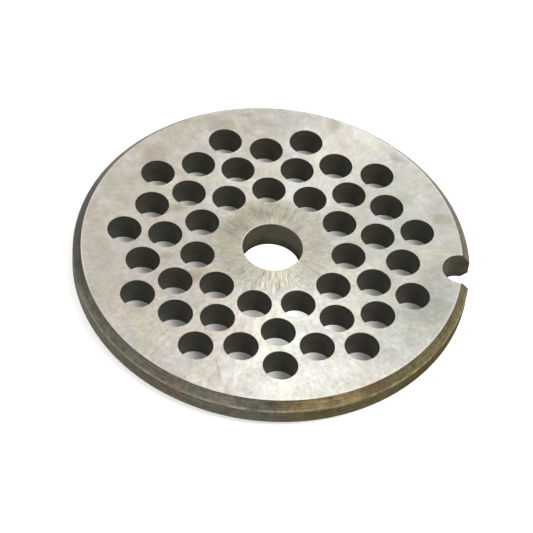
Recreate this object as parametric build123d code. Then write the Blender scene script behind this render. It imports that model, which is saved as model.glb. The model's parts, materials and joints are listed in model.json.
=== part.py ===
from build123d import *
import math
import os

# Perforated plate of a hand-cranked meat grinder: one turned and drilled steel disc.
# Frame: origin on the bore's axis at the lower face, +Z along the bore, the locating
# notch towards +X. The plate lies on its lower face. It works either way up, so both
# faces are alike. All lengths are in millimetres.

# The turned blank.
PLATE_DIAMETER = 70.0
PLATE_THICKNESS = 5.6
RIM_BEVEL = 1.4  # 45 degree bevel between each face and the rim's wall
RIM_CORNER_RADIUS = 0.4  # worn corner between each bevel and the wall

# The bore that the feed screw's stub turns in.
BORE_DIAMETER = 10.6
BORE_EDGE_BREAK = 0.1

# The perforations that the meat is pressed through.
HOLE_DIAMETER = 6.0
HOLES_PER_RING = 11
HOLE_WEB = 1.2  # least metal between two neighbouring holes
HUB_LAND = 5.1  # solid metal between the bore and the innermost holes
RIM_LAND = 4.0  # least flat metal outside the outermost holes, where the ring nut bears

# The notch that a key in the grinder's head holds the plate by.
NOTCH_WIDTH = 6.0
NOTCH_DEPTH = 4.8
NOTCH_EDGE_BREAK = 0.2
NOTCH_EDGE_SLOPE = 45.0  # degrees

# How far a cutter runs past each face.
CUTTER_OVERRUN = 1.0

# Sizes that follow from those above.
PLATE_RADIUS = PLATE_DIAMETER / 2
FACE_RADIUS = PLATE_RADIUS - RIM_BEVEL
BORE_RADIUS = BORE_DIAMETER / 2
HOLE_RADIUS = HOLE_DIAMETER / 2
HOLE_PITCH = HOLE_DIAMETER + HOLE_WEB
HALF_STEP = math.pi / HOLES_PER_RING  # half the angle from one hole of a ring to the next
MID_HEIGHT = PLATE_THICKNESS / 2
THROUGH = PLATE_THICKNESS + 2 * CUTTER_OVERRUN


def turned_blank():
    """The disc as it leaves the lathe: its half section, bored and bevelled, turned about Z."""
    upper_half = [
        (BORE_RADIUS, 0),
        (BORE_RADIUS, MID_HEIGHT - BORE_EDGE_BREAK),
        (BORE_RADIUS + BORE_EDGE_BREAK, MID_HEIGHT),
        (FACE_RADIUS, MID_HEIGHT),
        (PLATE_RADIUS, MID_HEIGHT - RIM_BEVEL),
        (PLATE_RADIUS, 0),
    ]
    upper = make_face(Polyline(*upper_half, close=True))
    section = upper + mirror(upper, about=Plane.XZ)
    rim_corners = section.vertices().group_by(Axis.X)[-1]
    section = fillet(rim_corners, RIM_CORNER_RADIUS)
    return Pos(0, 0, MID_HEIGHT) * revolve(Plane.XZ * section, Axis.Z)


def next_ring_radius(inner_radii):
    """Radius of the next ring out, as close in as the web to the last two rings allows.

    Its holes stand between those of the last ring and in line with those of the one before.
    """
    last = inner_radii[-1]
    beside = last * math.sin(HALF_STEP)
    between = last * math.cos(HALF_STEP) + math.sqrt(max(HOLE_PITCH**2 - beside**2, 0))
    in_line = inner_radii[-2] + HOLE_PITCH if len(inner_radii) > 1 else last
    return max(between, in_line)


def ring_radii():
    """Radii of the rings of holes, from the hub out to the land that the ring nut bears on."""
    at_hub = BORE_RADIUS + HUB_LAND + HOLE_RADIUS
    radii = [max(at_hub, HOLE_PITCH / 2 / math.sin(HALF_STEP))]
    while next_ring_radius(radii) + HOLE_RADIUS + RIM_LAND <= FACE_RADIUS:
        radii.append(next_ring_radius(radii))
    return radii


def perforations():
    """What is drilled out: rings of holes, each ring turned half a step from the last."""
    drill = Pos(0, 0, MID_HEIGHT) * Cylinder(HOLE_RADIUS, THROUGH)
    places = []
    for number, radius in enumerate(ring_radii()):
        turn = math.degrees(HALF_STEP) * (number % 2)
        places += PolarLocations(radius, HOLES_PER_RING, turn)
    return [place * drill for place in places]


def notch_outline():
    """Plan of the notch about its round end's centre: a half circle and straight flanks."""
    end = Circle(NOTCH_WIDTH / 2)
    flanks = Rectangle(NOTCH_DEPTH, NOTCH_WIDTH, align=(Align.MIN, Align.CENTER))
    return end + flanks


def notch():
    """What is milled out for the notch, with its edge broken at both faces."""
    outline = notch_outline()
    slot = Pos(0, 0, -THROUGH / 2) * extrude(outline, THROUGH)
    mouth = extrude(outline, NOTCH_EDGE_BREAK, taper=-NOTCH_EDGE_SLOPE)
    upper = Pos(0, 0, MID_HEIGHT - NOTCH_EDGE_BREAK) * mouth
    lower = mirror(upper, about=Plane.XY)
    end_centre = PLATE_RADIUS - NOTCH_DEPTH + NOTCH_WIDTH / 2
    return Pos(end_centre, 0, MID_HEIGHT) * (slot + upper + lower)


def grinder_plate():
    """The finished plate."""
    return turned_blank() - notch() - perforations()


os.makedirs("parts", exist_ok=True)
export_step(grinder_plate(), "parts/grinder_plate.step")
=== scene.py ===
import json
import logging
import math
from dataclasses import asdict, dataclass, field
from enum import Enum
from functools import reduce
from typing import Mapping, Optional, Sequence, Union

import bmesh
import bpy
from bpy.types import Material, Object
from mathutils import Matrix, Vector


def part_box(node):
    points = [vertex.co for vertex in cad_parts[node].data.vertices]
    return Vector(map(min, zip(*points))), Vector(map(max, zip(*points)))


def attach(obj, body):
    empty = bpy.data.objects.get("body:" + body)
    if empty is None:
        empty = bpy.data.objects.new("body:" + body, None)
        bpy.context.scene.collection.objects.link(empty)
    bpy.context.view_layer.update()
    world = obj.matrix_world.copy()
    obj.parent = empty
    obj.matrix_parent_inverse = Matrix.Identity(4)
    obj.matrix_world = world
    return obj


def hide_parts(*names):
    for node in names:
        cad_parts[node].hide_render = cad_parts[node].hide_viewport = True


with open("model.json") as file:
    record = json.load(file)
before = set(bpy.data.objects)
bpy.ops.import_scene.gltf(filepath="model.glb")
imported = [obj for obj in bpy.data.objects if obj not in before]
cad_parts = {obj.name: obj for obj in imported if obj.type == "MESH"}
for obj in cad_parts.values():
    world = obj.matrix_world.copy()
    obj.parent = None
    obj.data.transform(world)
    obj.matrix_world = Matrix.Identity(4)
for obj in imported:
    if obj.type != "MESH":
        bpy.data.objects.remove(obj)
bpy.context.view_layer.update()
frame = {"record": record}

NODE = "grinder_plate"
BODY = "root"
PIECE = "perforated_plate"

MM = 0.001
IMAGE_SIDE = 533.0  # pixels
SENSOR_WIDTH = 36.0  # millimetres, as the camera's lens is given
NOISE_REACH = 0.2  # how far a noise usually strays from 0.5
WHITE = (1.0, 1.0, 1.0)

Colour = tuple[float, float, float]
Span = tuple[float, float]
Point2 = tuple[float, float]
Point3 = tuple[float, float, float]
Plug = bpy.types.NodeSocket
Value = Union[Plug, float, int, bool, str, Sequence[float], Material]

log = logging.getLogger("grinder_plate")


# ----- Node trees -----


class Blend(Enum):
    """How a colour comes over another. The value is the Mix node's blending mode."""

    COVER = "MIX"
    TINT = "MULTIPLY"


class NodeWeb:
    """A node tree while it is being wired, for shaders, the world and geometry alike."""

    def __init__(self, tree: bpy.types.NodeTree) -> None:
        """Takes the tree that the nodes go into."""
        self.tree = tree

    @classmethod
    def of(cls, owner: Union[Material, bpy.types.World]) -> "NodeWeb":
        """Starts an empty web in a material or a world.

        Args:
            owner: The material or world.

        Returns:
            The web.
        """
        owner.use_nodes = True
        owner.node_tree.nodes.clear()
        return cls(owner.node_tree)

    def add(self, kind: str, inputs: Optional[Mapping[Union[str, int], Value]] = None,
            **settings: object) -> bpy.types.Node:
        """Adds one node.

        Args:
            kind: The node's type name.
            inputs: What goes into its sockets, by socket name or number: a plug or a constant.
            settings: The node's own properties.

        Returns:
            The new node.
        """
        node = self.tree.nodes.new(kind)
        for name, value in settings.items():
            setattr(node, name, value)
        for socket, value in (inputs or {}).items():
            self.feed(node.inputs[socket], value)
        return node

    def feed(self, socket: Plug, value: Value) -> None:
        """Links a plug to a socket, or sets the socket's constant.

        Args:
            socket: The input socket.
            value: A plug from another node, or a constant. A colour may have three parts.
        """
        if isinstance(value, bpy.types.NodeSocket):
            self.tree.links.new(value, socket)
        elif socket.type == "RGBA" and len(value) == 3:
            socket.default_value = (*value, 1.0)
        else:
            socket.default_value = value

    def calc(self, operation: str, *values: Value) -> Plug:
        """Result of a Math node's operation on some numbers."""
        return self.add("ShaderNodeMath", dict(enumerate(values)), operation=operation).outputs[0]

    def plus(self, *values: Value) -> Plug:
        """Sum of two numbers or more."""
        return reduce(lambda total, value: self.calc("ADD", total, value), values)

    def minus(self, first: Value, second: Value) -> Plug:
        """Difference of two numbers."""
        return self.calc("SUBTRACT", first, second)

    def times(self, *values: Value) -> Plug:
        """Product of two numbers or more."""
        return reduce(lambda total, value: self.calc("MULTIPLY", total, value), values)

    def over(self, first: Value, second: Value) -> Plug:
        """Quotient of two numbers."""
        return self.calc("DIVIDE", first, second)

    def most(self, first: Value, second: Value) -> Plug:
        """The greater of two numbers."""
        return self.calc("MAXIMUM", first, second)

    def vector(self, operation: str, *values: Value) -> Plug:
        """Arithmetic on vectors.

        Args:
            operation: The Vector Math node's operation.
            values: Its operands. SCALE takes its factor as the second one.

        Returns:
            The result's plug, which is a number for LENGTH, DISTANCE and DOT_PRODUCT.
        """
        sockets = [0, "Scale"] if operation == "SCALE" else range(len(values))
        node = self.add("ShaderNodeVectorMath", dict(zip(sockets, values)), operation=operation)
        number = operation in ("LENGTH", "DISTANCE", "DOT_PRODUCT")
        return node.outputs["Value" if number else "Vector"]

    def combine(self, x: Value = 0.0, y: Value = 0.0, z: Value = 0.0) -> Plug:
        """Makes a vector of three numbers."""
        return self.add("ShaderNodeCombineXYZ", {0: x, 1: y, 2: z}).outputs[0]

    def split(self, vector: Plug) -> tuple[Plug, Plug, Plug]:
        """Splits a vector into its three numbers."""
        return tuple(self.add("ShaderNodeSeparateXYZ", {0: vector}).outputs)

    def remap(self, value: Value, low: float, high: float, to_low: float = 0.0,
              to_high: float = 1.0, smooth: bool = False) -> Plug:
        """Carries a range of numbers onto another, held at both ends, and eased there if smooth."""
        return self.add("ShaderNodeMapRange", {0: value, 1: low, 2: high, 3: to_low, 4: to_high},
                        interpolation_type="SMOOTHSTEP" if smooth else "LINEAR").outputs[0]

    def between(self, share: Plug, low: float, high: float) -> Plug:
        """Number that goes from low to high as a share goes from 0 to 1."""
        return self.remap(share, 0.0, 1.0, low, high)

    def mix(self, share: Value, first: Value, second: Value, blend: Blend = Blend.COVER) -> Plug:
        """Lays a share of the second colour over the first."""
        return self.add("ShaderNodeMix", {0: share, 6: first, 7: second}, data_type="RGBA",
                        blend_type=blend.value).outputs[2]

    def tint(self, colour: Value, tint: Value, share: Value = 1.0) -> Plug:
        """Multiplies a colour by a share of a tint."""
        return self.mix(share, colour, tint, Blend.TINT)

    def noise(self, vector: Plug, scale: float, detail: float, roughness: float) -> Plug:
        """Seamless noise about 0.5, with that many cells for each unit of the vector."""
        return self.add("ShaderNodeTexNoise", {"Vector": vector, "Scale": scale, "Detail": detail,
                                               "Roughness": roughness}).outputs[0]


# ----- Finishes -----


class Zone(Enum):
    """The plate's surfaces by how they were machined. The value is the material's number."""

    GROUND_FACE = 0
    BEVELLED_RIM = 1
    REAMED_BORE = 2
    DRILLED_HOLE = 3
    MILLED_NOTCH = 4


Finishes = Mapping[Zone, Material]


@dataclass(frozen=True)
class Sector:
    """A sector of the plate, in degrees: where its middle is from the notch, and its extent."""

    middle: float
    half_width: float  # of the part at full strength
    fade: float  # on each side of that part


@dataclass(frozen=True)
class Grain:
    """A noise in the plate's own place."""

    scale: float  # cells in a metre
    detail: float = 3.0  # finer octaves
    roughness: float = 0.6  # strength of those
    start: Optional[Colour] = None  # where it is read from, in metres


class PlateShader:
    """A metal shader of one zone, with the places on the plate that its patterns follow."""

    def __init__(self, name: str) -> None:
        """Makes the material and the plate's coordinates in it.

        Args:
            name: The material's name.
        """
        self.material = bpy.data.materials.new(name)
        self.web = NodeWeb.of(self.material)
        self.place = self.web.add("ShaderNodeTexCoord").outputs["Object"]
        self.x, self.y, self.height = self.web.split(self.place)
        self.flat = self.web.combine(self.x, self.y)
        self.radius = self.web.vector("LENGTH", self.flat)
        self.outward = self.web.vector("NORMALIZE", self.flat)

    def grain(self, grain: Grain) -> Plug:
        """Noise of one grain, about 0.5."""
        at = self.web.vector("ADD", self.place, grain.start) if grain.start else self.place
        return self.web.noise(at, grain.scale, grain.detail, grain.roughness)

    def radial_streaks(self, count: Value, length: float, detail: float = 2.0,
                       setback: Value = 0.0) -> Plug:
        """Noise drawn out along the plate's radii, about 0.5.

        Args:
            count: Streaks in one radian.
            length: Usual length of a streak in metres.
            detail: Number of finer octaves.
            setback: How far behind the bore's middle the streaks meet, in metres.

        Returns:
            The noise.
        """
        web = self.web
        seen_from = web.combine(self.x, web.minus(self.y, setback))
        along = web.combine(0.0, 0.0, web.over(web.vector("LENGTH", seen_from), length))
        spread = web.vector("SCALE", web.vector("NORMALIZE", seen_from), count)
        return web.noise(web.vector("ADD", spread, along), 1.0, detail, 0.55)

    def vary(self, colour: Plug, pattern: Plug, share: Value) -> Plug:
        """Lightens and darkens a colour by up to a share where a noise usually ends."""
        offset = self.web.over(self.web.minus(pattern, 0.5), NOISE_REACH)
        return self.web.vector("SCALE", colour, self.web.plus(1.0, self.web.times(offset, share)))

    def within(self, sector: Sector) -> Plug:
        """Share from 0 to 1 that marks a sector of the plate.

        Args:
            sector: The sector.

        Returns:
            The share's plug.
        """
        turn = math.radians(sector.middle)
        facing = self.web.vector("DOT_PRODUCT", self.outward, (math.cos(turn), math.sin(turn), 0.0))
        outer, inner = (math.cos(math.radians(min(angle, 180.0)))
                        for angle in (sector.half_width + sector.fade, sector.half_width))
        return self.web.remap(facing, outer, inner, smooth=True)

    def bump(self, height: Plug, distance: float, strength: float) -> Plug:
        """The normal over a relief from 0 to 1, of some depth in metres."""
        inputs = {"Height": height, "Distance": distance, "Strength": strength}
        return self.web.add("ShaderNodeBump", inputs).outputs[0]

    def finish(self, inputs: Mapping[str, Value]) -> Material:
        """Closes the shader.

        Args:
            inputs: What goes into the metal's sockets, by name: a plug or a constant.

        Returns:
            The finished material.
        """
        shader = self.web.add("ShaderNodeBsdfPrincipled", inputs)
        self.web.add("ShaderNodeOutputMaterial", {"Surface": shader.outputs[0]})
        return self.material


@dataclass(frozen=True)
class TwoHues:
    """Two faint tints that take turns over a colour as a noise goes through a span."""

    grain: Grain
    span: Span
    first: Colour
    second: Colour

    def lay(self, shader: PlateShader, colour: Plug) -> Plug:
        """Tints a colour."""
        hue = shader.web.remap(shader.grain(self.grain), *self.span)
        return shader.web.tint(colour, shader.web.mix(hue, self.first, self.second))


@dataclass(frozen=True)
class Stain:
    """A soft-edged discoloured patch on the plate, or, for the wisps at the back, a painted
    highlight.

    Its place and half sizes are in millimetres, and its turn in degrees, both in the plate's frame.
    """

    name: str
    x: float
    y: float
    half_long: float
    half_wide: float
    turn: float
    tint: Colour
    edge: Grain = Grain(900.0)
    raggedness: float = 0.9
    fade: Span = (1.7, 0.7)  # in half sizes, the raggedness included

    def lay(self, shader: PlateShader, colour: Plug) -> Plug:
        """Lays the stain over a colour.

        Args:
            shader: Its shader.
            colour: The colour under it.

        Returns:
            The stained colour.
        """
        web = shader.web
        local = web.add("ShaderNodeMapping", {
            "Vector": shader.flat,
            "Location": (self.x * MM, self.y * MM, 0.0),
            "Rotation": (0.0, 0.0, math.radians(self.turn)),
            "Scale": (self.half_long * MM, self.half_wide * MM, 1.0),
        }, vector_type="TEXTURE", label=self.name).outputs[0]
        ragged = web.times(shader.grain(self.edge), self.raggedness)
        distance = web.plus(web.vector("LENGTH", local), ragged)
        return web.tint(colour, self.tint, web.remap(distance, *self.fade, smooth=True))


@dataclass(frozen=True)
class GroundFaceFinish:
    """Both ground faces: warm grey steel with radial grinding marks, clouds, old stains and painted
    highlights.
    """

    warm: Colour = (0.625, 0.577, 0.492)
    cool: Colour = (0.580, 0.563, 0.475)
    roughness: float = 0.30
    anisotropy: float = 0.97
    hues: tuple[TwoHues, ...] = (
        TwoHues(Grain(170.0), (0.38, 0.62), (1.015, 0.975, 0.985), (0.985, 1.00, 0.945)),
        TwoHues(Grain(130.0, 4.0, 0.7, (0.3, 0.1, 0.0)), (0.40, 0.60),
                (1.018, 1.00, 0.962), (0.985, 1.00, 1.040)),
    )
    warmth_drift: Grain = Grain(55.0, 2.0, 0.5)
    clouds: Grain = Grain(95.0)
    mottle: Grain = Grain(380.0, 3.0, 0.65)
    mottle_shares: Span = (0.10, 0.06)  # elsewhere, and in the even sectors
    even: tuple[Sector, Sector] = (Sector(10.0, 60.0, 60.0), Sector(-145.0, 10.0, 30.0))
    speckle: Grain = Grain(1500.0, 2.0)
    speckle_shares: Span = (0.075, 0.135)  # elsewhere, and at the front
    speckled: Sector = Sector(-80.0, 30.0, 70.0)
    lit_front: Sector = Sector(-85.0, 24.0, 30.0)
    lit_back: Sector = Sector(72.0, 25.0, 40.0)
    fine_shares: Span = (0.03, 0.06)  # of the fine streaks, elsewhere and where lit, painted stronger in the highlight fans
    bold_shares: Span = (0.28, 0.50)  # of the bold streaks, elsewhere and at the front, painted stronger in the highlight fan there
    bold_counts: Span = (34.0, 68.0)
    bold_patches: Grain = Grain(330.0, 2.0, 0.5)
    hub: Span = (13.5 * MM, 8.5 * MM)  # radii between which the bold streaks set in
    front_setback: float = 9.0 * MM
    hub_shade: Colour = (0.81, 0.80, 0.74)
    scratch: Colour = (0.66, 0.63, 0.57)
    # Pale line along the face's border: partly wear, partly a painted highlight.
    border_wear_and_highlight: Colour = (0.80, 0.78, 0.70)
    worn_places: Grain = Grain(70.0, 2.0, 0.5)
    border_fade: Span = (0.40 * MM, 0.15 * MM)  # in from the face's border
    bore_fade: Span = (0.24 * MM, 0.12 * MM)  # out from the bore
    glint: Colour = (0.95, 0.93, 0.86)
    glint_side: Sector = Sector(172.0, 8.0, 60.0)
    waves: Grain = Grain(230.0, 2.0, 0.5)
    stains: tuple[Stain, ...] = (
        Stain("khaki by the outer land", 8.5, 31.1, 2.2, 1.8, 75.0, (0.79, 0.79, 0.69)),
        Stain("grey smudge", 20.4, 24.7, 1.8, 1.1, -35.0, (0.72, 0.69, 0.68)),
        Stain("green speck", 26.7, 18.9, 0.9, 0.5, 0.0, (0.92, 0.96, 0.86)),
        Stain("brown smear by the notch side", 29.3, 11.1, 2.3, 1.6, 5.0, (0.82, 0.785, 0.65)),
        Stain("grey bloom before the notch", 27.8, -9.0, 9.8, 5.7, 72.0, (0.79, 0.81, 0.81)),
        Stain("bluish mottling", 24.6, -19.2, 6.5, 1.8, -46.0, (0.97, 1.01, 1.06)),
        Stain("pink spot", 20.4, -28.6, 0.9, 0.6, 0.0, (0.97, 0.86, 0.88)),
        Stain("brown cloud", -23.3, 18.1, 3.8, 2.6, 40.0, (0.86, 0.81, 0.74)),
        Stain("brown smear at the back", -11.7, 27.8, 2.9, 1.9, 20.0, (0.79, 0.77, 0.69)),
        Stain("specks at the back", -7.7, 31.1, 1.6, 0.5, 10.0, (0.86, 0.87, 0.84)),
        Stain("faded patch on the left", -29.7, -4.1, 1.8, 2.8, 0.0, (0.91, 0.90, 0.84)),
        Stain("green scratch", -6.5, -28.6, 3.4, 0.3, -77.0, (0.78, 0.78, 0.65)),
        Stain("tan spot", -17.9, -4.9, 1.7, 1.1, 0.0, (0.79, 0.745, 0.68)),
        Stain("pink smear", -17.5, 6.4, 2.1, 1.2, 20.0, (0.75, 0.71, 0.68)),
        Stain("tan web", -12.7, -8.2, 2.4, 1.7, 30.0, (0.75, 0.70, 0.61)),
        Stain("brown above the bore", 0.3, 8.3, 7.6, 3.5, -3.0, (0.75, 0.735, 0.70)),
        Stain("dull beside the bore", -5.3, 5.3, 5.5, 2.8, 45.0, (0.76, 0.75, 0.71)),
        # A painted highlight in the highlight fan at the back, not a stain.
        Stain("painted highlight wisps at the back", 13.5, 29.3, 4.0, 2.0, -30.0, (1.12, 1.115, 1.12)),
    )

    def ground(self, shader: PlateShader, colour: Plug) -> Plug:
        """Mottles the steel with faint clouds, and draws the radial grinding marks over them.

        Args:
            shader: Their shader.
            colour: The plain steel's colour.

        Returns:
            The ground steel's colour.
        """
        web = shader.web
        for hues in self.hues:
            colour = hues.lay(shader, colour)
        even = web.most(*map(shader.within, self.even))
        speckled = shader.within(self.speckled)
        front = shader.within(self.lit_front)
        lit = web.most(front, web.times(shader.within(self.lit_back), 0.7))
        on_hub = web.remap(shader.radius, *self.hub, smooth=True)
        patchy = web.remap(shader.grain(self.bold_patches), 0.38, 0.62, 0.15, 1.15)
        # Real grinding marks, painted with more contrast where the lamps' highlight fans lie:
        # partly a painted highlight.
        bold = shader.radial_streaks(web.between(front, *self.bold_counts), 2.4 * MM, 3.0,
                                     web.times(front, self.front_setback))
        for pattern, share in (
                (shader.grain(self.clouds), 0.06),
                (shader.grain(self.mottle), web.between(even, *self.mottle_shares)),
                (shader.grain(self.speckle), web.between(speckled, *self.speckle_shares)),
                (shader.radial_streaks(62.0, 5.0 * MM), web.between(lit, *self.fine_shares)),
                (bold, web.times(on_hub, patchy, web.between(front, *self.bold_shares)))):
            colour = shader.vary(colour, pattern, share)
        scratches = web.remap(shader.radial_streaks(13.0, 4.5 * MM, 3.0), 0.57, 0.72, 0.0, 0.75)
        colour = web.tint(colour, self.scratch, web.times(scratches, on_hub))
        return web.tint(colour, self.hub_shade, web.times(on_hub, 0.9))

    def make(self, bore_radius: float, face_radius: float) -> Material:
        """Makes the material.

        Args:
            bore_radius: Radius of the bore in metres.
            face_radius: Radius of the face's border in metres.

        Returns:
            The material.
        """
        shader = PlateShader("ground_face")
        web = shader.web
        drift = web.times(shader.grain(self.warmth_drift), 0.8)
        across = web.plus(web.remap(shader.x, -0.03, 0.03), drift)
        colour = web.mix(web.remap(across, 0.35, 1.4), self.warm, self.cool)
        colour = self.ground(shader, colour)
        for stain in self.stains:
            colour = stain.lay(shader, colour)
        # The border's pale line, partly wear and partly a painted highlight, shown where the wear
        # noise allows.
        worn = web.remap(shader.grain(self.worn_places), 0.45, 0.6)
        border = web.remap(shader.radius, *(face_radius - inset for inset in self.border_fade))
        colour = web.mix(web.times(border, worn, 0.6), colour, self.border_wear_and_highlight)
        at_bore = web.remap(shader.radius, *(bore_radius + offset for offset in self.bore_fade))
        glint = web.between(shader.within(self.glint_side), 0.2, 0.8)
        colour = web.mix(web.times(at_bore, glint), colour, self.glint)
        waves = shader.grain(self.waves)
        marks = web.times(shader.radial_streaks(75.0, 5.0 * MM), 0.2)
        return shader.finish({
            "Base Color": colour,
            "Metallic": 1.0,
            "Roughness": web.plus(self.roughness, web.remap(waves, 0.3, 0.7, -0.02, 0.03)),
            "Normal": shader.bump(web.plus(waves, marks), 0.05 * MM, 1.0),
            "Anisotropic": self.anisotropy,
            "Tangent": web.vector("CROSS_PRODUCT", (0.0, 0.0, 1.0), shader.outward),
        })


@dataclass(frozen=True)
class RimPatch:
    """A stretch of the rim in another colour, ragged where it follows a span of the blotches."""

    name: str
    sector: Sector
    colour: Colour
    ragged: Optional[Span] = None
    blend: Blend = Blend.COVER

    def lay(self, shader: PlateShader, colour: Value, blotch: Plug) -> Plug:
        """Lays the patch over a colour.

        Args:
            shader: Its shader.
            colour: The colour under it.
            blotch: The rim's blotches.

        Returns:
            The patched colour.
        """
        share = shader.within(self.sector)
        if self.ragged is not None:
            share = shader.web.times(share, shader.web.remap(blotch, *self.ragged))
        patched = shader.web.mix(share, colour, self.colour, self.blend)
        patched.node.label = self.name
        return patched


@dataclass(frozen=True)
class RimFinish:
    """The rim: dark scaled steel, brassy and rusty in places, rubbed light and with a painted
    highlight along its corners, a painted highlight at the back and painted shade at the sides.
    """

    bevel: Colour = (0.132, 0.122, 0.098)
    wall: Colour = (0.098, 0.091, 0.067)
    right: Sector = Sector(-32.0, 38.0, 18.0)
    on_bevel: tuple[RimPatch, ...] = (
        RimPatch("brass on the right", right, (0.122, 0.102, 0.054)),
        # Painted highlight along the back of the rim.
        RimPatch("painted highlight at the back", Sector(90.0, 30.0, 32.0), (0.30, 0.29, 0.262)),
        RimPatch("bright brass", Sector(-69.0, 7.0, 9.0), (0.205, 0.150, 0.078), (0.3, 0.5)),
        RimPatch("smudge", Sector(-85.0, 6.0, 6.0), (0.55, 0.53, 0.50), (0.45, 0.6), Blend.TINT),
        RimPatch("violet", Sector(-54.5, 2.5, 4.0), (0.83, 0.75, 0.88), (0.38, 0.55), Blend.TINT),
    )
    on_wall: tuple[RimPatch, ...] = (
        RimPatch("olive on the right", right, (0.089, 0.076, 0.037)),
        RimPatch("shade", Sector(-24.0, 14.0, 10.0), (0.76, 0.69, 0.42), blend=Blend.TINT),
        RimPatch("rust", Sector(-113.4, 2.0, 3.5), (0.150, 0.097, 0.060), (0.35, 0.6)),
    )
    left_shade: RimPatch = RimPatch("left", Sector(180.0, 14.0, 14.0), (0.65, 0.66, 0.71),
                                    blend=Blend.TINT)
    # Colours of the line along the corners: partly rubbed steel, partly a painted highlight.
    worn: Colour = (0.320, 0.290, 0.220)
    brass_wear_and_highlight: Colour = (0.300, 0.250, 0.150)
    hues: TwoHues = TwoHues(Grain(300.0), (0.4, 0.6), (1.035, 0.985, 1.00), (0.97, 1.01, 0.965))
    blotches: Grain = Grain(420.0, 4.0, 0.65)
    speckle: Grain = Grain(1300.0, 2.0)
    mark_spacing: float = 0.22 * MM  # between turning marks
    wander: float = 5.0  # how often a mark changes in one radian
    bevel_light: Span = (1.16, 0.84)  # at the bevel's outer corner and at the face
    roughness: float = 0.45
    duller: float = 0.4  # how much rougher the wall is on the right
    metallic: float = 0.05
    shine: float = 0.05

    def make(self, corner_heights: Span) -> Material:
        """Makes the material.

        Args:
            corner_heights: Heights of the two corners between the bevels and the wall, in metres.

        Returns:
            The material.
        """
        shader = PlateShader("bevelled_rim")
        web = shader.web
        low, high = corner_heights
        half = (high - low) / 2
        off_middle = web.calc("ABSOLUTE", web.minus(shader.height, (low + high) / 2))
        is_wall = web.remap(off_middle, half + 0.1 * MM, half - 0.1 * MM)
        off_corner = web.calc("ABSOLUTE", web.minus(off_middle, half))
        at_corner = web.remap(off_corner, 0.25 * MM, 0.05 * MM, smooth=True)
        blotch = shader.grain(self.blotches)
        bevel, wall = self.bevel, self.wall
        for patch in self.on_bevel:
            bevel = patch.lay(shader, bevel, blotch)
        for patch in self.on_wall:
            wall = patch.lay(shader, wall, blotch)
        light = web.remap(off_middle, half, half + low, *self.bevel_light)
        on_right = shader.within(self.right)
        # The line along the corners: partly wear, partly a painted highlight.
        colour = web.mix(web.times(at_corner, web.remap(blotch, 0.58, 0.42, 0.1, 0.95)),
                         web.mix(is_wall, web.vector("SCALE", bevel, light), wall),
                         web.mix(on_right, self.worn, self.brass_wear_and_highlight))
        colour = self.hues.lay(shader, self.left_shade.lay(shader, colour, blotch))
        across = web.over(web.plus(shader.radius, shader.height), self.mark_spacing)
        down = web.over(web.minus(shader.height, shader.radius), self.mark_spacing)
        turned = web.vector("SCALE", shader.outward, self.wander)
        turned = web.vector("ADD", turned, web.combine(0.0, across, down))
        marks = web.noise(turned, 1.0, 2.0, 0.5)
        for pattern, share in ((marks, 0.26), (blotch, 0.27), (shader.grain(self.speckle), 0.22)):
            colour = shader.vary(colour, pattern, share)
        return shader.finish({
            "Base Color": colour,
            "Metallic": self.metallic,
            "Roughness": web.plus(self.roughness, web.remap(blotch, 0.3, 0.7, -0.08, 0.12),
                                  web.times(on_right, is_wall, self.duller)),
            "Normal": shader.bump(web.plus(marks, blotch), 0.05 * MM, 0.4),
            "Specular IOR Level": self.shine,
        })


@dataclass(frozen=True)
class WallFinish:
    """A wall cut through the plate: dark, with tool marks that run level round it, and where given
    painted shade and a painted bluish sheen.
    """

    name: str
    colour: Colour
    tint: Colour
    roughness: float
    metallic: float
    contrast: float  # how much the marks show
    shine: float
    grime: float = 0.0  # painted shade: how much darker the wall is at its foot
    grimy: Span = (2.6 * MM, 0.4 * MM)  # heights between which the painted shade at the foot sets in
    sheen_side: Optional[Sector] = None  # where the wall has a painted bluish sheen low down
    sheen_heights: Span = (4.8 * MM, 3.0 * MM)
    blue: Colour = (1.00, 0.96, 1.22)
    # Where one side of the wall is darkened by painted shade, on the side that the softbox lights.
    shaded_side: Optional[Sector] = None
    dark: Colour = (0.58, 0.58, 0.56)
    mark: Colour = (0.6, 0.6, 0.6)
    mark_spacing: float = 0.3 * MM
    wander: float = 200.0  # how often a mark changes in one metre
    patches: Grain = Grain(420.0)

    def make(self) -> Material:
        """Makes the material.

        Returns:
            The material.
        """
        shader = PlateShader(self.name)
        web = shader.web
        patch = shader.grain(self.patches)
        colour = web.mix(web.remap(patch, 0.4, 0.65), self.colour, self.tint)
        # A painted bluish sheen, a reflection, low on one side of the wall.
        if self.sheen_side is not None:
            low_down = web.remap(shader.height, *self.sheen_heights)
            colour = web.tint(colour, self.blue, web.times(shader.within(self.sheen_side), low_down))
        # Painted shade on one side of the wall.
        if self.shaded_side is not None:
            colour = web.tint(colour, self.dark, shader.within(self.shaded_side))
        level = web.combine(0.0, 0.0, web.over(shader.height, self.mark_spacing))
        sideways = web.vector("SCALE", shader.flat, self.wander)
        marks = web.noise(web.vector("ADD", sideways, level), 1.0, 2.0, 0.5)
        colour = web.tint(colour, self.mark, web.remap(marks, 0.4, 0.7, 0.0, self.contrast))
        # Painted shade: the wall is darker towards its foot.
        foot = web.remap(shader.height, *self.grimy, 1.0, 1.0 - self.grime)
        colour = web.vector("SCALE", colour, foot)
        return shader.finish({
            "Base Color": colour,
            "Metallic": self.metallic,
            "Roughness": web.plus(self.roughness, web.remap(patch, 0.3, 0.7, -0.05, 0.08)),
            "Normal": shader.bump(marks, 0.03 * MM, 0.35),
            "Specular IOR Level": self.shine,
        })


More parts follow.
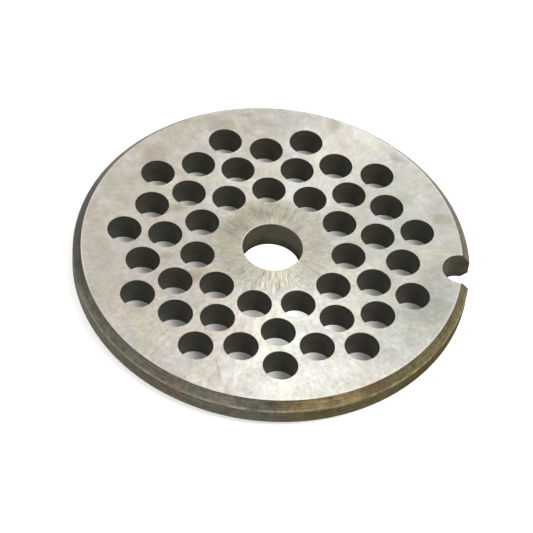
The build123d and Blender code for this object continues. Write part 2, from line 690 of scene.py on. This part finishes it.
WALLS = {
    # The bore and the notch take painted shade at their walls' foot; the bore also a painted sheen
    # and painted shade on one side.
    Zone.REAMED_BORE: WallFinish(
        "reamed_bore", (0.185, 0.178, 0.120), (0.150, 0.138, 0.096), 0.7, 0.0, 0.5, 0.0, 0.5,
        sheen_side=Sector(38.0, 12.0, 25.0), shaded_side=Sector(145.0, 22.0, 50.0)),
    Zone.DRILLED_HOLE: WallFinish(
        "drilled_hole", (0.058, 0.061, 0.042), (0.082, 0.068, 0.047), 0.55, 0.0, 0.8, 0.15),
    Zone.MILLED_NOTCH: WallFinish(
        "milled_notch", (0.075, 0.063, 0.035), (0.048, 0.040, 0.024), 0.55, 0.1, 0.9, 0.2, 0.6),
}


# ----- Geometry Nodes -----


SOCKETS = {int: "NodeSocketInt", float: "NodeSocketFloat", Material: "NodeSocketMaterial"}


@dataclass
class Perforations:
    """Rings of drilled holes, each as close to the last as the web allows and half a step on."""

    bore_radius: float
    face_radius: float
    thickness: float
    hole_radius: float = 3.0 * MM
    holes_per_ring: int = 11
    web_width: float = 1.2 * MM
    hub_land: float = 5.1 * MM
    rim_land: float = 4.0 * MM
    slack: float = 0.001 * MM
    edge_break: float = 0.035 * MM
    overrun: float = 1.0 * MM
    sides: int = 80
    most_rings: int = 8
    wall_lean: float = 0.1  # upright part of the normal, below which a drill's face is a wall

    def drill(self, web: NodeWeb) -> Plug:
        """One drill about the origin, flared where it passes the two faces to break their edges.

        Args:
            web: The tree's web.

        Returns:
            The drill's mesh.
        """
        given = web.add("NodeGroupInput").outputs
        spacing = 1.0  # between the drill's four levels, before they are moved to their heights
        bar = web.add("GeometryNodeMeshCylinder", {
            "Vertices": given["Sides"], "Side Segments": 3, "Radius": given["Hole Radius"],
            "Depth": 3 * spacing,
        })
        x, y, z = web.split(web.add("GeometryNodeInputPosition").outputs[0])
        flared = web.calc("GREATER_THAN", web.calc("ABSOLUTE", z), spacing)
        reach = web.plus(given["Edge Break"], given["Overrun"])
        lip = web.minus(web.times(given["Thickness"], 0.5), given["Edge Break"])
        level = web.plus(lip, web.times(flared, reach))
        swell = web.plus(1.0, web.times(flared, web.over(reach, given["Hole Radius"])))
        moved = web.combine(web.times(x, swell), web.times(y, swell),
                            web.times(web.calc("SIGN", z), level))
        return web.add("GeometryNodeSetPosition",
                       {"Geometry": bar.outputs["Mesh"], "Position": moved}).outputs[0]

    def rings(self, web: NodeWeb) -> Plug:
        """Sets a drill at every hole's centre, ring after ring as long as the rim's land allows.

        Args:
            web: The tree's web.

        Returns:
            All the drills as one mesh.
        """
        given = web.add("NodeGroupInput").outputs
        half_step = web.over(math.pi, given["Holes Per Ring"])
        pitch = web.plus(web.times(given["Hole Radius"], 2.0), given["Web Width"])
        at_hub = web.plus(given["Bore Radius"], given["Hub Land"], given["Hole Radius"])
        first = web.most(at_hub, web.over(web.over(pitch, 2.0), web.calc("SINE", half_step)))
        drill = self.drill(web)
        start = web.add("GeometryNodeRepeatInput")
        end = web.add("GeometryNodeRepeatOutput")
        start.pair_with_output(end)
        end.repeat_items.clear()
        for kind, title in (("GEOMETRY", "Drills"), ("FLOAT", "Radius"), ("FLOAT", "Last")):
            end.repeat_items.new(kind, title)
        radius, last = start.outputs["Radius"], start.outputs["Last"]
        centres = web.add("GeometryNodeMeshCircle",
                          {"Vertices": given["Holes Per Ring"], "Radius": radius})
        odd = web.calc("MODULO", start.outputs["Iteration"], 2.0)
        turned = web.add("GeometryNodeTransform", {
            "Geometry": centres.outputs[0],
            "Translation": web.combine(0.0, 0.0, web.times(given["Thickness"], 0.5)),
            "Rotation": web.combine(0.0, 0.0, web.times(odd, half_step)),
        })
        outermost = web.plus(radius, given["Hole Radius"], given["Rim Land"])
        fits = web.calc("LESS_THAN", outermost, web.plus(given["Face Radius"], given["Slack"]))
        ring = web.add("GeometryNodeInstanceOnPoints", {
            "Points": turned.outputs[0], "Selection": fits, "Instance": drill})
        beside = web.times(radius, web.calc("SINE", half_step))
        room = web.minus(web.calc("POWER", pitch, 2.0), web.calc("POWER", beside, 2.0))
        clear_of_this = web.plus(web.times(radius, web.calc("COSINE", half_step)),
                                 web.calc("SQRT", web.most(room, 0.0)))
        joined = web.add("GeometryNodeJoinGeometry", {"Geometry": start.outputs["Drills"]})
        web.feed(joined.inputs[0], ring.outputs[0])
        for socket, value in (
                (start.inputs["Iterations"], given["Most Rings"]),
                (start.inputs["Radius"], first),
                (start.inputs["Last"], web.minus(first, pitch)),
                (end.inputs["Drills"], joined.outputs[0]),
                (end.inputs["Radius"], web.most(clear_of_this, web.plus(last, pitch))),
                (end.inputs["Last"], radius)):
            web.feed(socket, value)
        return web.add("GeometryNodeRealizeInstances", {0: end.outputs["Drills"]}).outputs[0]

    def cut(self, web: NodeWeb, drills: Plug) -> Plug:
        """Cuts the tree's mesh, with the face's finish on the broken edges.

        Args:
            web: The tree's web.
            drills: The drills as one mesh.

        Returns:
            The drilled mesh.
        """
        given = web.add("NodeGroupInput").outputs
        drills = web.add("GeometryNodeSetMaterial", {
            "Geometry": drills, "Material": given["Face Finish"]}).outputs[0]
        upright = web.split(web.add("GeometryNodeInputNormal").outputs[0])[2]
        is_wall = web.calc("LESS_THAN", web.calc("ABSOLUTE", upright), given["Wall Lean"])
        marked = web.add("GeometryNodeStoreNamedAttribute", {
            "Geometry": drills, "Name": "drilled", "Value": is_wall},
            data_type="BOOLEAN", domain="FACE").outputs[0]
        cut = web.add("GeometryNodeMeshBoolean", {"Mesh 1": given["Mesh"], "Mesh 2": marked},
                      operation="DIFFERENCE", solver="EXACT").outputs[0]
        whole = web.add("GeometryNodeRealizeInstances", {0: cut}).outputs[0]
        walls = web.add("GeometryNodeInputNamedAttribute", {"Name": "drilled"},
                        data_type="BOOLEAN").outputs["Attribute"]
        return web.add("GeometryNodeSetMaterial", {
            "Geometry": whole, "Selection": walls, "Material": given["Wall Finish"]}).outputs[0]

    def put_on(self, blank: Object, face: Material,
               wall: Material) -> None:
        """Drills a blank with a node tree that has a named input for each size.

        Args:
            blank: The turned blank.
            face: Finish of the face, which the broken edges share.
            wall: Finish of the holes' walls.
        """
        tree = bpy.data.node_groups.new("rings_of_holes", "GeometryNodeTree")
        ports = tree.interface
        for way in ("OUTPUT", "INPUT"):
            ports.new_socket(name="Mesh", in_out=way, socket_type="NodeSocketGeometry")
        sizes = {name.replace("_", " ").title(): size for name, size in asdict(self).items()}
        values = {}
        for title, value in {**sizes, "Face Finish": face, "Wall Finish": wall}.items():
            kind = SOCKETS[type(value)]
            port = ports.new_socket(name=title, in_out="INPUT", socket_type=kind)
            values[port.identifier] = value
        web = NodeWeb(tree)
        web.add("NodeGroupOutput", {"Mesh": self.cut(web, self.rings(web))})
        drilled = blank.modifiers.new(tree.name, "NODES")
        drilled.node_group = tree
        for identifier, value in values.items():
            drilled[identifier] = value


# ----- The plate -----


def put_in_scene(name: str, data: bpy.types.ID) -> Object:
    """Makes an object and links it to the scene.

    Args:
        name: The object's name.
        data: Its mesh, lamp or camera.

    Returns:
        The object.
    """
    thing = bpy.data.objects.new(name, data)
    bpy.context.scene.collection.objects.link(thing)
    return thing


def solid(name: str, loops: Sequence[Sequence[Point3]], zones: Sequence[Zone], endless: bool,
          finishes: Finishes) -> Object:
    """Makes a closed solid of loops of points, each joined to the next by a strip of faces.

    Args:
        name: The object's name.
        loops: The points of each loop.
        zones: The zone of each face in a strip.
        endless: Whether the last loop is joined to the first. Both are filled if it isn't.
        finishes: The material of each zone.

    Returns:
        The object, its faces outwards.
    """
    work = bmesh.new()
    rings = [[work.verts.new(point) for point in loop] for loop in loops]
    for near, far in zip(rings, [*rings[1:], rings[0]] if endless else rings[1:]):
        for side, zone in enumerate(zones):
            after = (side + 1) % len(zones)
            face = work.faces.new((near[side], far[side], far[after], near[after]))
            face.material_index = zone.value
    if not endless:
        work.faces.new(rings[0])
        work.faces.new(rings[-1])
    bmesh.ops.recalc_face_normals(work, faces=work.faces)
    mesh = bpy.data.meshes.new(name)
    work.to_mesh(mesh)
    work.free()
    for zone in Zone:
        mesh.materials.append(finishes[zone])
    return put_in_scene(name, mesh)


@dataclass(frozen=True)
class Corner:
    """A corner of the blank's half section: its place, and the radius that it is rounded to."""

    radius: float
    height: float
    rounding: float = 0.0

    @property
    def place(self) -> Vector:
        """Its place as a vector."""
        return Vector((self.radius, self.height))


def rounded(corners: Sequence[Corner], steps: int) -> list[Point2]:
    """Closed outline through the corners, with each rounded one drawn as an arc.

    Args:
        corners: The corners in order.
        steps: Number of chords in each arc.

    Returns:
        The outline's points.
    """
    outline = []
    for number, corner in enumerate(corners):
        here = corner.place
        if corner.rounding == 0.0:
            outline.append(tuple(here))
            continue
        back = (corners[number - 1].place - here).normalized()
        on = (corners[(number + 1) % len(corners)].place - here).normalized()
        half = back.angle(on) / 2
        centre = here + (back + on).normalized() * (corner.rounding / math.sin(half))
        spoke = here + back * (corner.rounding / math.tan(half)) - centre
        end_spoke = here + on * (corner.rounding / math.tan(half)) - centre
        sweep = math.atan2(spoke.x * end_spoke.y - spoke.y * end_spoke.x, spoke.dot(end_spoke))
        for step in range(steps + 1):
            turn = Matrix.Rotation(sweep * step / steps, 2)
            outline.append(tuple(centre + turn @ spoke))
    return outline


@dataclass
class TurnedBlank:
    """The disc as it leaves the lathe and the grinder: bored, bevelled and faced."""

    radius: float
    thickness: float
    bore_radius: float
    bevel: float = 1.4 * MM
    rim_rounding: float = 0.4 * MM
    border_rounding: float = 0.12 * MM
    bore_break: float = 0.1 * MM
    arc_steps: int = 5
    segments: int = 352
    level_slope: float = 0.6  # rise for each run, below which a side belongs to a face

    @property
    def face_radius(self) -> float:
        """Radius of each ground face."""
        return self.radius - self.bevel

    @property
    def corner_heights(self) -> Span:
        """Heights of the two corners between the bevels and the rim's wall."""
        return self.bevel, self.thickness - self.bevel

    def section(self) -> list[Point2]:
        """Half section of the disc, as radius and height."""
        top, bore = self.thickness, self.bore_radius
        return rounded([
            Corner(bore, self.bore_break),
            Corner(bore + self.bore_break, 0.0),
            Corner(self.face_radius, 0.0, self.border_rounding),
            Corner(self.radius, self.bevel, self.rim_rounding),
            Corner(self.radius, top - self.bevel, self.rim_rounding),
            Corner(self.face_radius, top, self.border_rounding),
            Corner(bore + self.bore_break, top),
            Corner(bore, top - self.bore_break),
        ], self.arc_steps)

    def zone(self, start: Point2, end: Point2) -> Zone:
        """Which finish one side of the section takes.

        Args:
            start: Its first point.
            end: Its last point.

        Returns:
            The zone. The bore's broken edges belong to the faces.
        """
        run, rise = abs(end[0] - start[0]), abs(end[1] - start[1])
        at_bore = max(start[0], end[0]) < self.bore_radius + 2 * self.bore_break
        if rise < self.level_slope * run or (at_bore and run > 0.0):
            return Zone.GROUND_FACE
        return Zone.REAMED_BORE if at_bore else Zone.BEVELLED_RIM

    def build(self, finishes: Finishes) -> Object:
        """Turns the section about the bore's axis.

        Args:
            finishes: The material of each zone.

        Returns:
            The blank as a closed mesh.
        """
        section = self.section()
        angles = [2 * math.pi * number / self.segments for number in range(self.segments)]
        loops = [[(r * math.cos(angle), r * math.sin(angle), z) for r, z in section]
                 for angle in angles]
        zones = list(map(self.zone, section, [*section[1:], section[0]]))
        return solid("turned_blank", loops, zones, True, finishes)


@dataclass
class KeyNotch:
    """The open notch in the rim: a round end and straight flanks, its edges broken at the faces."""

    plate_radius: float
    thickness: float
    width: float = 6.0 * MM
    depth: float = 4.8 * MM
    edge_break: float = 0.2 * MM
    overrun: float = 1.0 * MM
    end_steps: int = 48

    def outline(self, growth: float) -> list[Point2]:
        """Plan of the cutter, grown outwards by a little.

        Args:
            growth: How far outside the notch's own outline it lies.

        Returns:
            The plan's points, in order.
        """
        radius = self.width / 2 + growth
        centre = self.plate_radius - self.depth + self.width / 2
        far = self.plate_radius + self.overrun
        arc = [math.pi / 2 + math.pi * step / self.end_steps for step in range(self.end_steps + 1)]
        end = [(centre + radius * math.cos(a), radius * math.sin(a)) for a in arc]
        return [*end, (far, -radius), (far, radius)]

    def cutter(self, finishes: Finishes) -> Object:
        """The milling cutter's path as a closed solid.

        Args:
            finishes: The material of each zone.

        Returns:
            The cutter, with the notch's finish.
        """
        flare = self.edge_break + self.overrun
        levels = [(-self.overrun, flare), (self.edge_break, 0.0),
                  (self.thickness - self.edge_break, 0.0), (self.thickness + self.overrun, flare)]
        loops = [[(x, y, height) for x, y in self.outline(growth)] for height, growth in levels]
        zones = [Zone.MILLED_NOTCH] * len(loops[0])
        return solid("notch_cutter", loops, zones, False, finishes)

    def put_on(self, blank: Object, cutter: Object) -> None:
        """Cuts the notch into a blank.

        Args:
            blank: The turned blank.
            cutter: The cutter's path.
        """
        cut = blank.modifiers.new("key_notch", "BOOLEAN")
        cut.operation = "DIFFERENCE"
        cut.solver = "EXACT"
        cut.material_mode = "INDEX"
        cut.object = cutter


@dataclass
class GrinderPlate:
    """The whole plate: a turned blank, notched, drilled in rings and dressed."""

    blank: TurnedBlank
    notch: KeyNotch
    perforations: Perforations
    sharp_angle: float = math.radians(28.0)
    level_normal: float = 0.9999  # upright part of a level face's normal
    weld_distance: float = 1e-4 * MM
    finishes: dict[Zone, Material] = field(default_factory=dict)

    @classmethod
    def from_frame(cls) -> "GrinderPlate":
        """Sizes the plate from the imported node's box and the record's bore.

        Returns:
            The plate, not built yet.
        """
        low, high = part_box(NODE)
        radius, thickness = -low.x, high.z - low.z
        mounts = {mount["name"]: mount for mount in frame["record"]["mounts"]}
        blank = TurnedBlank(radius, thickness, mounts["bore"]["dims"]["r_mm"] * MM)
        return cls(blank, KeyNotch(radius, thickness),
                   Perforations(blank.bore_radius, blank.face_radius, thickness))

    def dress(self) -> None:
        """Makes the finish of each zone."""
        face = GroundFaceFinish().make(self.blank.bore_radius, self.blank.face_radius)
        self.finishes = {Zone.GROUND_FACE: face,
                         Zone.BEVELLED_RIM: RimFinish().make(self.blank.corner_heights),
                         **{zone: wall.make() for zone, wall in WALLS.items()}}

    def build(self) -> Object:
        """Machines the plate, and makes it one plain mesh.

        Returns:
            The piece, at the origin.
        """
        blank = self.blank.build(self.finishes)
        cutter = self.notch.cutter(self.finishes)
        self.notch.put_on(blank, cutter)
        self.perforations.put_on(blank, self.finishes[Zone.GROUND_FACE],
                                 self.finishes[Zone.DRILLED_HOLE])
        depsgraph = bpy.context.evaluated_depsgraph_get()
        machined = blank.evaluated_get(depsgraph)
        mesh = bpy.data.meshes.new_from_object(machined, depsgraph=depsgraph)
        for used in (blank, cutter):
            bpy.data.objects.remove(used)
        mesh.name = PIECE
        self.sharpen(mesh)
        return put_in_scene(PIECE, mesh)

    def sharpen(self, mesh: bpy.types.Mesh) -> None:
        """Welds the mesh, and smooths its round walls while its flat faces stay flat.

        Args:
            mesh: The plate's mesh.
        """
        work = bmesh.new()
        work.from_mesh(mesh)
        bmesh.ops.remove_doubles(work, verts=work.verts, dist=self.weld_distance)
        for face in work.faces:
            face.smooth = True
        for edge in work.edges:
            level = [abs(face.normal.z) > self.level_normal for face in edge.link_faces]
            edge.smooth = (len(level) == 2 and level[0] == level[1]
                           and edge.calc_face_angle(0.0) < self.sharp_angle)
        open_edges = sum(not edge.is_manifold for edge in work.edges)
        log.info("plate mesh: %d faces, %d open or shared edges, volume %.1f mm3",
                 len(work.faces), open_edges, work.calc_volume() / MM**3)
        work.to_mesh(mesh)
        work.free()


# ----- Studio -----


def towards(azimuth: float, elevation: float) -> Vector:
    """Unit vector at an azimuth from +X towards +Y and an elevation, both in degrees."""
    turn, rise = math.radians(azimuth), math.radians(elevation)
    level = math.cos(rise)
    return Vector((math.cos(turn) * level, math.sin(turn) * level, math.sin(rise)))


@dataclass(frozen=True)
class Viewpoint:
    """Where the camera stands: on a line from a point on the plate's upper face."""

    aim: Point2 = (-0.651 * MM, -4.674 * MM)
    azimuth: float = -89.57  # degrees from +X towards +Y
    elevation: float = 49.76
    roll: float = 6.50
    distance: float = 410.65 * MM
    focal_pixels: float = 2358.8
    clip: Span = (0.01, 100.0)

    def place(self, height: float) -> None:
        """Sets up the scene's camera.

        Args:
            height: Height of the plate's upper face in metres.
        """
        back = towards(self.azimuth, self.elevation)
        data = bpy.data.cameras.new("viewpoint")
        data.sensor_width = SENSOR_WIDTH
        data.lens = self.focal_pixels / IMAGE_SIDE * SENSOR_WIDTH
        data.clip_start, data.clip_end = self.clip
        level = (-back).to_track_quat("-Z", "Y").to_matrix()
        rolled = level @ Matrix.Rotation(math.radians(self.roll), 3, "Z")
        stand = Matrix.Translation(Vector((*self.aim, height)) + back * self.distance)
        camera = put_in_scene("viewpoint", data)
        camera.matrix_world = stand @ rolled.to_4x4()
        bpy.context.scene.camera = camera


@dataclass(frozen=True)
class Softbox:
    """A rectangular lamp that faces the plate, given by where it stands and how bright it looks."""

    name: str
    azimuth: float  # degrees from +X towards +Y
    elevation: float
    distance: float
    width: float
    height: float
    brightness: float  # 1 is white
    colour: Colour = WHITE
    mirrored: bool = True  # whether the steel mirrors it

    def hang(self) -> None:
        """Hangs the lamp."""
        out = towards(self.azimuth, self.elevation)
        data = bpy.data.lights.new(self.name, "AREA")
        data.shape = "RECTANGLE"
        data.size, data.size_y = self.width, self.height
        data.energy = self.brightness * math.pi * self.width * self.height
        data.color = self.colour
        lamp = put_in_scene(self.name, data)
        lamp.matrix_world = (Matrix.Translation(out * self.distance)
                             @ out.to_track_quat("Z", "Y").to_matrix().to_4x4())
        lamp.visible_camera = False
        lamp.visible_glossy = self.mirrored


@dataclass(frozen=True)
class Studio:
    """A pale floor, an even sky, two window panes behind the plate and a softbox at its right."""

    bore_radius: float
    open_radius: float  # outside which the floor isn't all under the plate
    floor_side: float = 8.0
    floor_gap: float = 0.01 * MM  # keeps the floor out of the lower face's own plane
    floor_colour: Colour = (0.87, 0.86, 0.84)
    glow: float = 0.55
    rim_fade: float = 0.8 * MM
    glow_in_bore: float = 0.90
    bore_fade: float = 2.0 * MM
    glow_under_plate: float = 0.025
    # A painted pool of light on the floor under the front holes, seen through them.
    pale_spot: Point2 = (6.0 * MM, -11.5 * MM)
    pale_spot_reach: float = 10.5 * MM
    pale_spot_glow: float = 0.75
    sky: float = 0.70
    lamps: tuple[Softbox, ...] = (
        Softbox("right_pane", 79.4, 49.2, 1.5, 0.433, 0.244, 2.09, (0.97, 1.04, 1.24)),
        Softbox("left_pane", 98.0, 54.0, 1.5, 0.415, 0.240, 1.53, (0.96, 1.00, 1.12)),
        Softbox("softbox_right", -23.0, 57.5, 1.5, 0.5, 0.5, 18.0, mirrored=False),
    )

    def paper(self) -> Material:
        """Makes the floor's paper, which glows to the camera and in reflections.

        The camera sees less of the glow where the plate shades the paper, and looks through
        the paper from below.

        Returns:
            The material.
        """
        paper = bpy.data.materials.new("floor_paper")
        web = NodeWeb.of(paper)
        place = web.add("ShaderNodeTexCoord").outputs["Object"]
        radius = web.vector("LENGTH", place)
        outside = web.remap(radius, self.open_radius - self.rim_fade, self.open_radius,
                            0.0, self.glow)
        inside = web.remap(radius, self.bore_radius + self.bore_fade, self.bore_radius,
                           0.0, self.glow_in_bore)
        from_spot = web.vector("DISTANCE", place, (*self.pale_spot, 0.0))
        spot = web.remap(from_spot, self.pale_spot_reach, 0.0, self.glow_under_plate,
                         self.pale_spot_glow, smooth=True)
        rays = web.add("ShaderNodeLightPath").outputs
        seen = web.times(rays["Is Camera Ray"], web.most(web.most(outside, inside), spot))
        second = web.most(rays["Is Glossy Ray"], rays["Is Transmission Ray"])
        strength = web.plus(seen, web.times(second, self.glow))
        matt = web.add("ShaderNodeBsdfDiffuse", {"Color": self.floor_colour})
        shine = web.add("ShaderNodeEmission", {"Color": WHITE, "Strength": strength})
        both = web.add("ShaderNodeAddShader", {0: matt.outputs[0], 1: shine.outputs[0]})
        from_below = web.add("ShaderNodeNewGeometry").outputs["Backfacing"]
        hidden = web.times(rays["Is Camera Ray"], from_below)
        clear = web.add("ShaderNodeBsdfTransparent").outputs[0]
        whole = web.add("ShaderNodeMixShader", {0: hidden, 1: both.outputs[0], 2: clear})
        web.add("ShaderNodeOutputMaterial", {"Surface": whole.outputs[0]})
        return paper

    def lay_floor(self) -> None:
        """Lays the floor, which keeps the plate's shadow under its own pale glow."""
        mesh = bpy.data.meshes.new("floor")
        half = self.floor_side / 2
        square = ((-half, -half), (half, -half), (half, half), (-half, half))
        mesh.from_pydata([(x, y, -self.floor_gap) for x, y in square], [], [(0, 1, 2, 3)])
        mesh.materials.append(self.paper())
        put_in_scene("floor", mesh)

    def light_sky(self) -> None:
        """Lights the plate evenly from all round, and shows a white backdrop."""
        world = bpy.data.worlds.new("sky")
        web = NodeWeb.of(world)
        seen = web.add("ShaderNodeLightPath").outputs["Is Camera Ray"]
        strength = web.between(seen, self.sky, 1.0)
        shade = web.add("ShaderNodeBackground", {"Color": WHITE, "Strength": strength})
        web.add("ShaderNodeOutputWorld", {"Surface": shade.outputs[0]})
        bpy.context.scene.world = world

    def set_up(self) -> None:
        """Lays the floor, lights the sky and hangs the lamps."""
        self.lay_floor()
        self.light_sky()
        for lamp in self.lamps:
            lamp.hang()
        bpy.context.scene.view_settings.view_transform = "Standard"


def main() -> None:
    """Builds the plate, dresses it and sets up the studio round it."""
    logging.basicConfig(level=logging.INFO, format="%(name)s: %(message)s")
    plate = GrinderPlate.from_frame()
    Viewpoint().place(plate.blank.thickness)
    plate.dress()
    piece = plate.build()
    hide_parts(NODE)
    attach(piece, BODY)
    log.info("piece %s: %d faces", piece.name, len(piece.data.polygons))
    Studio(plate.blank.bore_radius, plate.blank.radius - plate.notch.depth).set_up()


if __name__ == "__main__":
    main()
